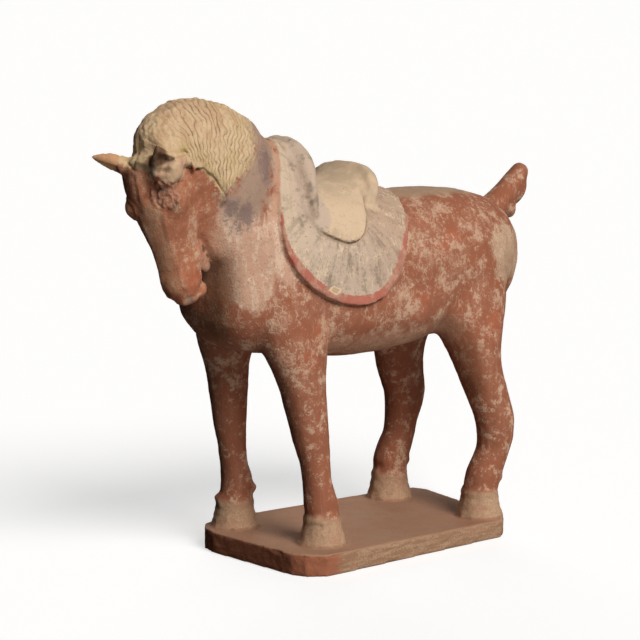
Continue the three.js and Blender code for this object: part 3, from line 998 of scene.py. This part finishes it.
def palePaint(tree, grains, colour):
    # Pale slip, mostly rubbed away: a thin haze, broken patches, short threads, grains and scratches
    broad, medium, small, fine = (grains[k] for k in ("broad", "medium", "small", "fine"))
    streaksA, streaksB = grains["streaksA"], grains["streaksB"]
    height, onFace = value(tree, "slabHeight"), value(tree, "face")
    upLegs = times(plus(0.25, times(ease(height, 60, 210), 0.75)), ease(height, 20, 60))
    onTrunk = plus(0.22, times(ease(height, 90, 185), 0.78))
    haze = noisy(value(tree, "pale"), (medium, 0.9), (small, 0.7))
    colour = layer(colour, "haze", times(ease(haze, 0.05, 0.75), wear["haze"]))
    veil = ease(noisy(broad, (medium, 0.9), (streaksB, 0.5)), 0.4, 0.68)
    colour = layer(colour, "haze", times(veil, upLegs, wear["veil"]))
    colour = neckPaint(tree, grains, colour)

    pale = noisy(times(value(tree, "pale"), 0.72), (small, 2.2), (fine, 2.6), (streaksA, 1.8), (medium, 0.8))
    patches = times(ease(pale, 0.38, 0.85), wear["slip"], onTrunk, without(times(onFace, 0.8)))
    colour = layer(colour, "slip", patches)
    faceClay = ease(noisy(medium, (small, 0.5)), 0.3, 0.6)
    colour = layer(colour, "faceClay", times(onFace, faceClay, 0.85))
    ridge = noisy(value(tree, "faceBand"), (medium, 0.8), (small, 0.5))
    colour = layer(colour, "faceRidge", times(ease(ridge, 0, 0.6), onFace, 0.8))

    strokes = times(plus(threads(tree, 9, (12, 25, 0)), threads(tree, 7, (-20, -40, 30))), patchy(tree))
    strokes = reckon("MINIMUM", times(strokes, plus(0.5, times(haze, 0.5))), wear["threads"])
    strokes = times(strokes, upLegs, onTrunk, without(times(onFace, 0.7)))
    colour = layer(colour, "slip", strokes)
    grainy = times(ease(noisy(fine, (medium, 0.5)), 0.62, 0.72), wear["grains"])
    colour = layer(colour, "slip", times(grainy, without(times(onFace, 0.5)), upLegs))
    scratches = plus(ease(streaksA, 0.62, 0.7), ease(streaksB, 0.63, 0.7))
    scratches = times(scratches, ease(broad, 0.35, 0.6), onTrunk, wear["scratches"])
    colour = layer(colour, "slip", scratches)
    relief = plus(plus(times(strokes, 0.4), times(patches, 0.35)), times(scratches, 0.5))
    return colour, relief


def stainedClay(tree, grains, colour):
    # The pitted ochre on the rump, the brown strip on the back, the belly's pale paint (partly painted light
    # from below) and the painted shade under the jaw and along the near hind leg's front
    medium, small, fine = grains["medium"], grains["small"], grains["fine"]
    ochre = noisy(value(tree, "ochre"), (medium, 1.0), (small, 1.2), (fine, 0.7))
    onOchre = ease(ochre, 0, 0.4)
    colour = layer(colour, "ochre", times(ease(ochre, 0.02, 0.4), wear["ochre"]))
    colour = layer(colour, "deep", times(onOchre, ease(noisy(small, (fine, 0.9)), 0.5, 0.62), 0.42))
    colour = layer(colour, "creamPale", times(onOchre, ease(noisy(fine, (medium, 0.8)), 0.5, 0.62), 0.5))
    strip = ease(noisy(value(tree, "backStrip"), (medium, 0.5)), 0.25, 0.7)
    colour = layer(colour, "taupe", times(strip, 0.8))
    # the belly paler: pale paint, and partly painted light from below
    belly = noisy(value(tree, "belly"), (medium, 0.8), (small, 0.6))
    colour = layer(colour, "peach", times(ease(belly, -0.05, 0.6), wear["belly"]))
    flakes = ease(noisy(small, (fine, 0.8)), 0.48, 0.62)
    colour = layer(colour, "slip", times(ease(belly, 0, 0.5), flakes, wear["belly"]))
    # painted shade on the breast under the jaw
    breast = noisy(value(tree, "breastShade"), (medium, 0.5), (small, 0.3))
    colour = layer(colour, "jawShadeBrown", times(ease(breast, -0.1, 0.9), wear["breastShade"]))
    # painted shade along the near hind leg's front
    hock = noisy(value(tree, "hockShade"), (medium, 0.4), (small, 0.3))
    return layer(colour, "hockShadeBrown", times(ease(hock, -0.05, 0.9), wear["hockShade"]))


def manePaint(tree, grains, colour):
    medium, small, fine = grains["medium"], grains["small"], grains["fine"]
    inMane, rear = value(tree, "maneColour"), value(tree, "maneRear")
    groove = reckon("ABSOLUTE", reckon("SINE", times(value(tree, "strandAcross"), math.pi)))
    groove = times(without(ease(groove, 0.05, 0.6)), value(tree, "strandStrength"))
    hair = layer("cream", "straw", ease(medium, 0.4, 0.65))
    hair = layer(hair, "slip", times(ease(noisy(grains["broad"], (medium, 0.8)), 0.46, 0.62), 0.55))
    hair = layer(hair, "olive", times(groove, wear["grooves"]))
    hair = layer(hair, "olive", times(ease(small, 0.56, 0.74), 0.45))
    hair = layer(hair, "creamPale", times(ease(fine, 0.56, 0.7), 0.5))
    edge = noisy(inMane, (small, 6), (medium, 8), (medium, times(rear, 16)), (fine, times(rear, 14)))
    colour = layer(colour, hair, ease(edge, -1.5, 1.5))

    # The violet band behind it, with cream that strays into it
    band = noisy(value(tree, "violet"), (medium, 26), (small, 22), (fine, 16), (grains["streaksB"], 16))
    colour = layer(colour, "violetPale", times(ease(band, -7, 7), 0.8))
    flecks = ease(noisy(fine, (small, 0.8)), 0.52, 0.66)
    colour = layer(colour, "slip", times(ease(band, -4, 4), flecks, 0.35))
    strayed = ease(noisy(inMane, (medium, 34), (small, 26), (fine, 10)), -3, 4)
    colour = layer(colour, hair, times(strayed, ease(band, -6, 0), 0.6))
    dark = noisy(value(tree, "violetDark"), (medium, 1.4), (small, 2.0), (fine, 1.4))
    return layer(colour, "violet", times(ease(dark, -0.1, 0.8), ease(band, -3, 6), wear["violet"]))


def blanketPaint(tree, grains, colour):
    medium, small, fine = grains["medium"], grains["small"], grains["fine"]
    around = value(tree, "pleatAround")
    alongPleats = tree.nodes.new("ShaderNodeCombineXYZ")
    feed(alongPleats.inputs[0], times(around, 0.15))
    feed(alongPleats.inputs[1], times(value(tree, "pleatOut"), 0.03))
    strokes = tree.nodes.new("ShaderNodeTexNoise")
    strokes.inputs["Scale"].default_value = 1
    strokes.inputs["Detail"].default_value = 3
    feed(strokes.inputs["Vector"], alongPleats.outputs[0])
    dark = noisy(strokes.outputs["Fac"], (small, 0.45), (fine, 0.5), (medium, 0.5))
    felt = layer("felt", "feltDark", times(ease(dark, 0.41, 0.74), wear["feltStrokes"]))
    felt = layer(felt, "coralPale", times(ease(medium, 0.55, 0.75), 0.3))
    felt = layer(felt, "feltRear", times(ease(around, -20, 90), 0.5))
    felt = layer(felt, "creamPale", times(without(ease(around, -110, -20)), 0.4))
    feltThreads = plus(threads(tree, 6, (35, 10, 0)), threads(tree, 5, (-15, -60, 20)))
    felt = layer(felt, "creamPale", times(feltThreads, patchy(tree), 0.6))
    felt = layer(felt, "feltDark", times(ease(noisy(fine, (small, 0.6)), 0.62, 0.74), 0.45))
    colour = layer(colour, felt, ease(noisy(value(tree, "blanketDepth"), (small, 3)), -0.6, 0.6))

    trim = layer("coralPale", "clayRose", ease(noisy(medium, (small, 0.8)), 0.4, 0.6))
    trimThreads = plus(threads(tree, 7, (30, 10, 0)), threads(tree, 5, (-15, -50, 20)))
    trim = layer(trim, "slip", times(trimThreads, patchy(tree), 0.6))
    bright = ease(noisy(value(tree, "coral"), (small, 1.2)), 0.1, 0.55)
    trim = layer(trim, "coral", times(bright, wear["coral"]))
    edging = noisy(value(tree, "edging"), (small, 1.4), (medium, 1.2), (fine, 0.9))
    colour = layer(colour, trim, ease(edging, 0.3, 0.75))

    fromMiddle = noisy(value(tree, "lozenge"), (small, 0.8))
    for name, low, high, share in (
        ("creamPale", 0.85, 1.15, 0.9),
        ("coralPale", 0.5, 0.75, 0.8),
        ("straw", 0.3, 0.5, 0.9),
    ):
        colour = layer(colour, name, times(without(ease(fromMiddle, low, high)), share))
    return colour


def saddlePaint(tree, grains, colour):
    medium, small, fine = grains["medium"], grains["small"], grains["fine"]
    inCover = value(tree, "coverDepth")
    cover = layer("cover", "coverDull", ease(noisy(medium, (small, 0.5)), 0.5, 0.8))
    cover = layer(cover, "ochre", times(ease(noisy(small, (fine, 0.8)), 0.55, 0.75), 0.4))
    cover = layer(cover, "feltDark", times(ease(noisy(fine, (small, 0.5)), 0.64, 0.78), 0.5))
    colour = layer(colour, cover, ease(inCover, -0.3, 0.3))
    shadow = times(ease(noisy(inCover, (small, 3)), -4.4, -3), without(ease(inCover, -0.6, 0.4)))
    colour = layer(colour, "taupe", times(shadow, 0.45))
    seat = layer("coverDull", "cover", ease(noisy(medium, (small, 0.6)), 0.4, 0.7))
    colour = layer(colour, seat, value(tree, "seat"))
    pommel = layer("felt", "feltDark", times(ease(noisy(medium, (small, 0.7)), 0.48, 0.72), 0.85))
    return layer(colour, pommel, value(tree, "pommel"))


def headPaint(tree, grains, colour):
    medium, small, fine = grains["medium"], grains["small"], grains["fine"]
    roll = layer("cream", "peach", ease(noisy(medium, (small, 0.6)), 0.36, 0.56))
    cuff = ease(noisy(value(tree, "cuff"), (small, 0.6), (medium, 0.5)), 0.1, 0.4)
    colour = layer(colour, roll, times(cuff, 0.9))
    nostril = ease(noisy(value(tree, "nostril"), (small, 0.5)), 0.1, 0.4)
    colour = layer(colour, "violetPale", times(nostril, 0.6))
    earGrey = ease(noisy(value(tree, "earGrey"), (small, 0.9)), 0.05, 0.4)
    colour = layer(colour, "earGrey", times(earGrey, 0.85))
    # painted shade inside the near ear's scoop
    colour = layer(colour, "earScoopShade", times(value(tree, "earScoopShade"), 0.9))
    colour = layer(colour, "earOrange", ease(value(tree, "farEar"), 0.3, 0.7))
    worn = ease(noisy(value(tree, "wornEye"), (small, 0.7)), 0.05, 0.35)
    colour = layer(colour, "haze", times(worn, 0.8))
    colour = layer(colour, "slip", times(worn, ease(noisy(fine, (small, 0.8)), 0.47, 0.6), 0.7))
    return layer(colour, "darkBrown", times(worn, ease(noisy(small, (fine, 0.5)), 0.54, 0.66), 0.7))


def slabPaint(tree, grains, colour):  # the sandy hooves, the slab's top and its sides
    medium, small, fine = grains["medium"], grains["small"], grains["fine"]
    height = value(tree, "slabHeight")
    hoofClay = layer("hoof", "slabTop", times(ease(fine, 0.42, 0.66), 0.6))
    hoofClay = layer(hoofClay, "terracotta", times(ease(noisy(medium, (small, 0.8)), 0.5, 0.68), 0.4))
    aboveHoof = ease(noisy(height, (medium, 12)), 21, 28)
    onHoof = times(ease(noisy(height, (small, 5)), 0.5, 3), without(aboveHoof))
    colour = layer(colour, hoofClay, times(onHoof, wear["hoofSand"]))

    tile = layer("slabTop", "terracotta", times(ease(noisy(medium, (fine, 0.8)), 0.4, 0.8), 0.35))
    tile = layer(tile, "sand", times(ease(noisy(small, (fine, 0.6)), 0.5, 0.75), 0.45))
    tile = layer(tile, "deep", times(ease(noisy(grains["broad"], (small, 0.8)), 0.42, 0.72), 0.25))
    colour = layer(colour, tile, without(ease(noisy(height, (small, 3)), 0.5, 3)))

    striae = grain(tree, 3, 3, 0.6, scale=(0.14, 0.14, 1))
    near = layer("slabSide", "sand", times(ease(noisy(striae, (fine, 0.6)), 0.4, 0.62), 0.9))
    near = layer(near, "deep", times(ease(noisy(striae, (small, 0.5)), 0.56, 0.66), 0.4))
    # the slab's front face gets darker clay as painted shade
    front = layer("slabFrontShade", "faceClay", times(ease(noisy(striae, (small, 0.6)), 0.48, 0.66), 0.3))
    side = layer(front, near, value(tree, "sandy"))
    corner = ease(noisy(value(tree, "corner"), (small, 0.4)), 0.1, 0.5)
    side = layer(side, "terracotta", times(corner, 0.8))
    return layer(colour, side, without(ease(height, -1.6, -0.6)))


def hollowsRidgesAndSpecks(tree, grains, colour):  # darker in the hollows, paler on the ridges, dark cracks and specks
    hollow = value(tree, "hollow")
    inHollow = ease(noisy(hollow, (grains["small"], 0.3)), 0.22, 1.1)
    colour = layer(colour, "darkBrown", times(inHollow, wear["hollowDarkening"]))
    colour = layer(colour, "slip", times(ease(times(hollow, -1.0), 0.35, 1.0), 0.2))
    colour = layer(colour, "darkBrown", times(ease(value(tree, "crack"), 0.25, 0.9), 0.85))
    return layer(colour, "darkBrown", times(ease(grain(tree, 2.2, 1), 0.72, 0.8), 0.55))


def firedClay():
    material, tree = startMaterial("painted fired clay")
    grains = clayGrains(tree)
    colour, relief = palePaint(tree, grains, bareClay(tree, grains))
    for coat in (stainedClay, manePaint, blanketPaint, saddlePaint, headPaint, slabPaint, hollowsRidgesAndSpecks):
        colour = coat(tree, grains, colour)
    shader = tree.nodes["Principled BSDF"]
    feed(shader.inputs["Base Color"], colour)
    shader.inputs["Roughness"].default_value = wear["roughness"]
    shader.inputs["Specular IOR Level"].default_value = wear["gloss"]
    bump = tree.nodes.new("ShaderNodeBump")
    bump.inputs["Strength"].default_value = wear["bump"]
    bump.inputs["Distance"].default_value = wear["bumpHeight"] * mm
    feed(bump.inputs["Height"], plus(relief, plus(times(grains["fine"], 0.8), times(grains["small"], 0.4))))
    feed(shader.inputs["Normal"], bump.outputs["Normal"])
    print("clay mixed")
    return material


horse = workingMesh()
soften(horse)
makeFiner(horse)
sculpt(horse)
thin(horse)
keepPaint(horse)
horse.data.materials.append(firedClay())
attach(horse, "root")
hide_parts("pottery_horse")


# Floor, light and camera


studio = {
    "key": (-0.07, -0.74, 0.66),
    "keyPower": 3.0,
    "keySoftness": 30,
    "bounce": (-0.05, -0.88, -0.42),  # light thrown back up from the table in front
    "bouncePower": 0.84,
    "bounceSoftness": 80,
    "behind": (0.55, 0.8, 0.24),  # a weaker light, so that the far side can be read
    "behindPower": 1.3,
    "behindSoftness": 50,
    "fill": 0.15,  # light from all round, stronger from below than from above
    "fillBelow": 0.36,
    "floorGlow": 0.6,
    "floorPaint": 0.52,
    "eye": (-1315.29, -1573.31, 515.64),
    "aim": (-9.27, 39.49, 194.37),
    "lens": 132.72,
}


def layFloor():
    bpy.ops.object.select_all(action="DESELECT")
    bpy.ops.mesh.primitive_plane_add(size=120, location=(0, 0, -0.0002))
    floor = bpy.context.active_object
    floor.name = "floor"
    bpy.ops.object.transform_apply(location=True)
    material, tree = startMaterial("pale floor")
    shader = tree.nodes["Principled BSDF"]
    shader.inputs["Base Color"].default_value = (studio["floorPaint"],) * 3 + (1,)
    shader.inputs["Roughness"].default_value = 1
    shader.inputs["Specular IOR Level"].default_value = 0
    shader.inputs["Emission Color"].default_value = (1, 1, 1, 1)
    shader.inputs["Emission Strength"].default_value = studio["floorGlow"]
    floor.data.materials.append(material)
    floor.visible_diffuse = False
    floor.visible_glossy = False
    floor.visible_shadow = False


def lightStudio():
    for name in ("key", "bounce", "behind"):
        sun = bpy.data.lights.new(name, "SUN")
        sun.energy = studio[name + "Power"]
        sun.angle = math.radians(studio[name + "Softness"])
        sun.color = (1, 0.985, 0.96)
        lamp = bpy.data.objects.new(name, sun)
        lamp.rotation_euler = Vector(studio[name]).to_track_quat("Z", "Y").to_euler()
        bpy.context.scene.collection.objects.link(lamp)
    world = bpy.data.worlds.new("studio")
    bpy.context.scene.world = world
    world.use_nodes = True
    tree = world.node_tree
    background = tree.nodes["Background"]
    upward = tree.nodes.new("ShaderNodeSeparateXYZ")
    tree.links.new(tree.nodes.new("ShaderNodeTexCoord").outputs["Generated"], upward.inputs[0])
    sky = ease(upward.outputs["Z"], -0.4, 0.2)
    seen = tree.nodes.new("ShaderNodeLightPath").outputs["Is Camera Ray"]
    glow = reckon("MULTIPLY_ADD", sky, studio["fill"] - studio["fillBelow"], studio["fillBelow"])
    feed(background.inputs["Strength"], reckon("MAXIMUM", glow, seen))
    print("studio lit")


def setCamera():
    camera = bpy.data.cameras.new("camera")
    camera.lens = studio["lens"]
    camera.sensor_width = 36
    camera.sensor_fit = "HORIZONTAL"
    camera.clip_end = 200
    holder = bpy.data.objects.new("camera", camera)
    eye, aim = Vector(studio["eye"]) * mm, Vector(studio["aim"]) * mm
    holder.location = eye
    holder.rotation_euler = (eye - aim).to_track_quat("Z", "Y").to_euler()
    bpy.context.scene.collection.objects.link(holder)
    bpy.context.scene.camera = holder


layFloor()
lightStudio()
setCamera()
bpy.context.scene.view_settings.view_transform = "Standard"
bpy.context.view_layer.update()
